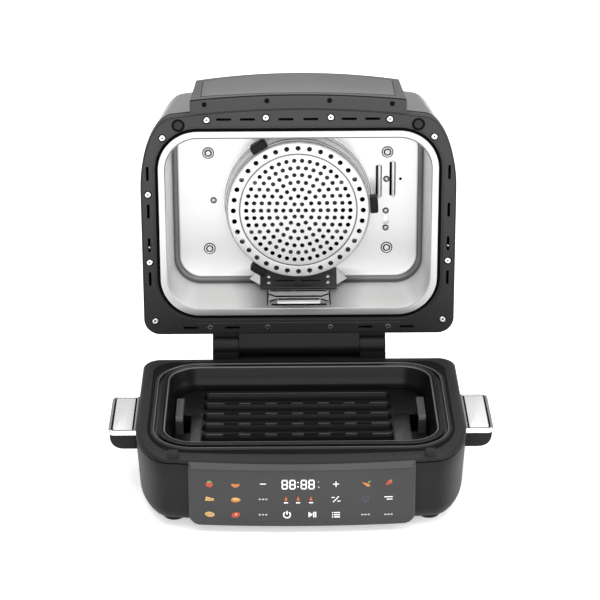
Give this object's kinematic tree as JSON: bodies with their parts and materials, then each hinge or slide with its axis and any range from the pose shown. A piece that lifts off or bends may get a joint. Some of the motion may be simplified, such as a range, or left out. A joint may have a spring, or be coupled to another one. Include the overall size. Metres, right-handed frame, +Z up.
{
  "type": "air fryer grill",
  "caption": "Countertop air fryer grill with a hinged lid held open: steel-lined lid cavity with fan guard, and a base with a lift-out pot, grill plate and touch panel.",
  "frame": {"origin": "middle of the open part's box, on the counter", "axes": "+Z up, the front with the control panel faces -Y, +X to the right seen from the front"},
  "size_m": [0.421, 0.4128, 0.3934],
  "materials": {
    "housing": "satin black plastic",
    "charcoal": "charcoal plastic with a fine texture",
    "handle_grey": "grey plastic",
    "panel_black": "printed touch panel",
    "display_red": "display window",
    "steel_shell": "brushed",
    "steel_liner": "bright",
    "steel_parts": "plain",
    "dark_steel": "dark enamel on steel sheet",
    "chrome": "polished",
    "nonstick": "dark non-stick coating",
    "alu": "plain",
    "rubber": "matt",
    "glass": "clear",
    "brass": "plain",
    "board": "circuit board",
    "motor": "grey"
  },
  "bodies": {
    "base": {"base_housing": "housing", "base_bottom_cover": "housing", "top_bezel": "charcoal", "heat_shield_bowl": "dark_steel", "control_panel": "panel_black", "led_display": "display_red", "control_board": "board", "power_board": "board", "rubber_feet": "rubber", "cover_screws": "steel_parts", "cord_gland": "rubber", "left_handle_grip": "charcoal", "right_handle_grip": "charcoal", "left_handle_trim": "chrome", "right_handle_trim": "chrome", "left_handle_inlay": "steel_shell", "right_handle_inlay": "steel_shell", "lid_rest_blocks": "rubber", "hinge_knuckles": "housing", "hinge_pins": "steel_parts"},
    "pot": {"cooking_pot": "nonstick"},
    "plate": {"grill_plate": "nonstick", "plate_lift_handles": "steel_parts"},
    "fan": {"motor_shaft": "steel_parts", "convection_fan": "alu", "cooling_fan": "charcoal"},
    "lid": {"lid_frame": "charcoal", "lid_shell": "steel_shell", "lid_liner": "steel_liner", "lid_gasket": "rubber", "lid_handle": "handle_grey", "lid_handle_panel": "handle_grey", "fan_guard": "steel_liner", "guard_clips": "housing", "fan_shroud": "steel_liner", "heating_coil": "steel_parts", "coil_brackets": "steel_parts", "motor_housing": "motor", "motor_bracket": "steel_parts", "lamp_bracket": "housing", "lamp_glass": "glass", "lamp_bulb": "glass", "temp_sensor": "steel_liner", "liner_screws": "steel_liner", "frame_screws": "steel_parts", "handle_screws": "steel_parts", "lid_bumpers": "rubber", "hinge_barrel": "housing", "hinge_bushes": "brass", "outlet_grille": "housing"}
  },
  "joints": [
    {"name": "lid_hinge", "type": "hinge", "parent": "base", "child": "lid", "pos_m": [0, 0.087, 0.092], "axis": [1, 0, 0], "range_deg": [0, 91]},
    {"name": "fan_spin", "type": "hinge", "parent": "lid", "child": "fan", "pos_m": [0, 0.14764, 0.24266], "axis": [0, 0.9998, -0.0175], "continuous": true},
    {"name": "pot_lift", "type": "slide", "parent": "base", "child": "pot", "axis": [0, 0, 1], "range_m": [0, 0.02]},
    {"name": "plate_lift", "type": "slide", "parent": "pot", "child": "plate", "axis": [0, 0, 1], "range_m": [0, 0.03]}
  ]
}
